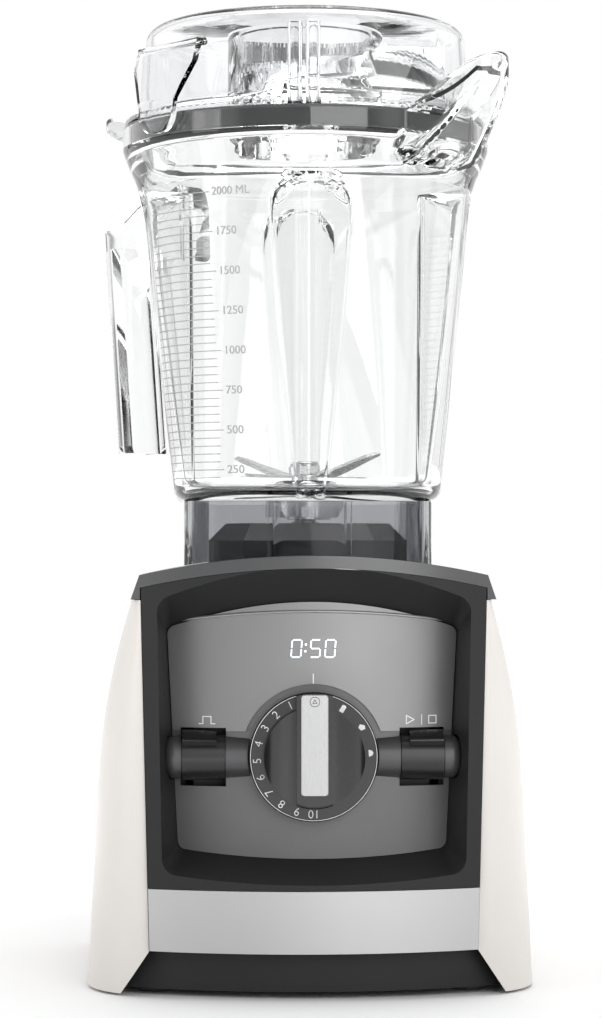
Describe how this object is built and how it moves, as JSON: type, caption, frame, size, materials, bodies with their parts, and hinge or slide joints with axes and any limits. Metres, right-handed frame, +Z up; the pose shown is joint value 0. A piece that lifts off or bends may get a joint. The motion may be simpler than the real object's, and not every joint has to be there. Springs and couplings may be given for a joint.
{
  "type": "countertop blender",
  "caption": "Countertop blender: motor base with dial, two levers and timer, and a clear square-round jar with blade, handle, spout, lid and plug.",
  "frame": {"origin": "where the drive axis meets the counter, between the feet", "axes": "+Z up the drive axis, -Y towards the control panel, +X to the right seen from the front"},
  "size_m": [0.201, 0.2309, 0.4433],
  "materials": {
    "panel_white": "fine satin",
    "bezel_charcoal": "fine texture",
    "gloss_band": "gloss",
    "control_grey": "fine texture",
    "overlay_grey": "satin film",
    "dial_rim": "satin",
    "trim_silver": "satin",
    "bar_metal": "satin",
    "paddle_dark": "satin",
    "screen_glass": "gloss",
    "pad_rubber": "gloss",
    "soft_rubber": "matte",
    "jar_clear": "clear",
    "skirt_smoke": "clear smoke",
    "handle_black": "soft touch",
    "lid_clear": "clear",
    "steel": "satin",
    "bearing_steel": "polished",
    "laminations": "varnished",
    "copper": "enamelled",
    "bracket_aluminium": "die cast",
    "carbon": "matte",
    "brass_holder": "plain",
    "fan_plastic": "plain",
    "board_green": "solder mask",
    "switch_black": "plain"
  },
  "bodies": {
    "base": {"bottom_plate": "bezel_charcoal", "brush_holders": "brass_holder", "carbon_brushes": "carbon", "centring_pad": "pad_rubber", "control_board": "board_green", "control_panel": "control_grey", "cord_gland": "bezel_charcoal", "dial_encoder": "switch_black", "field_windings": "copper", "front_bezel": "bezel_charcoal", "front_trim_plate": "trim_silver", "left_bar": "bar_metal", "left_side_panel": "panel_white", "lower_bearing": "bearing_steel", "lower_bracket": "bracket_aluminium", "motor_housing": "bezel_charcoal", "motor_stator": "laminations", "panel_overlay": "overlay_grey", "power_switch_frame": "bezel_charcoal", "pulse_switch": "switch_black", "rear_cover": "bezel_charcoal", "right_bar": "bar_metal", "right_side_panel": "panel_white", "rubber_feet": "soft_rubber", "start_stop_switch": "switch_black", "timer_display": "screen_glass", "top_deck": "gloss_band", "upper_bearing": "bearing_steel", "upper_bracket": "bracket_aluminium"},
    "dial": {"dial_knob": "control_grey", "dial_pointer": "dial_rim"},
    "pulse_lever": {"pulse_paddle": "paddle_dark", "pulse_key": "bar_metal"},
    "start_stop_lever": {"start_stop_paddle": "paddle_dark", "start_stop_key": "bar_metal"},
    "rocker": {"power_rocker": "paddle_dark"},
    "drive": {"motor_shaft": "steel", "motor_rotor": "laminations", "commutator": "copper", "cooling_fan": "fan_plastic", "drive_socket": "steel"},
    "container": {"jar": "jar_clear", "jar_skirt": "skirt_smoke", "jar_handle": "handle_black", "bearing_housing": "steel", "retaining_nut": "steel", "blade_bearings": "bearing_steel", "blade_seal": "soft_rubber"},
    "blade_set": {"blade": "steel", "blade_nut": "steel", "blade_shaft": "steel"},
    "lid": {"lid_shell": "lid_clear", "lid_gasket": "soft_rubber"},
    "plug_ring": {"plug_seal": "soft_rubber"},
    "plug": {"lid_plug": "jar_clear"},
    "front_clip": {"front_lid_clip": "handle_black"},
    "rear_clip": {"rear_lid_clip": "handle_black"}
  },
  "joints": [
    {"name": "dial_turn", "type": "hinge", "parent": "base", "child": "dial", "pos_m": [0, -0.0916, 0.105], "axis": [0, -1, 0], "range_deg": [-180, 90]},
    {"name": "pulse_press", "type": "hinge", "parent": "base", "child": "pulse_lever", "pos_m": [-0.0487, -0.084, 0.1044], "axis": [-1, 0, 0], "range_deg": [0, 8], "stiffness_Nm_per_rad": 0.12, "springref_deg": -4.58},
    {"name": "start_stop_press", "type": "hinge", "parent": "base", "child": "start_stop_lever", "pos_m": [0.0487, -0.084, 0.1044], "axis": [-1, 0, 0], "range_deg": [0, 8], "stiffness_Nm_per_rad": 0.12, "springref_deg": -4.58},
    {"name": "power_rock", "type": "hinge", "parent": "base", "child": "rocker", "pos_m": [0.052, 0.1076, 0.042], "axis": [1, 0, 0], "range_deg": [0, 12]},
    {"name": "motor_spin", "type": "hinge", "parent": "base", "child": "drive", "pos_m": [0, 0, 0.15], "axis": [0, 0, 1], "continuous": true},
    {"name": "container_lift", "type": "slide", "parent": "base", "child": "container", "axis": [0, 0, 1], "range_m": [0, 0.12]},
    {"name": "blade_spin", "type": "hinge", "parent": "container", "child": "blade_set", "pos_m": [0, 0, 0.23], "axis": [0, 0, 1], "continuous": true},
    {"name": "lid_lift", "type": "slide", "parent": "container", "child": "lid", "axis": [0, 0, 1], "range_m": [0, 0.06]},
    {"name": "plug_lift", "type": "slide", "parent": "lid", "child": "plug_ring", "axis": [0, 0, 1], "range_m": [0, 0.055]},
    {"name": "plug_twist", "type": "hinge", "parent": "plug_ring", "child": "plug", "pos_m": [0, 0, 0.42], "axis": [0, 0, 1], "range_deg": [0, 30]},
    {"name": "front_clip_flex", "type": "hinge", "parent": "lid", "child": "front_clip", "pos_m": [-0.06178, -0.04827, 0.4272], "axis": [-0.6157, 0.788, 0], "range_deg": [0, 6], "stiffness_Nm_per_rad": 0.6, "springref_deg": -1.72},
    {"name": "rear_clip_flex", "type": "hinge", "parent": "lid", "child": "rear_clip", "pos_m": [0.06178, 0.04827, 0.4272], "axis": [0.6157, -0.788, 0], "range_deg": [0, 6], "stiffness_Nm_per_rad": 0.6, "springref_deg": -1.72}
  ],
  "couplings": [
    {"joint": "blade_spin", "follows": "motor_spin", "ratio": 1}
  ]
}
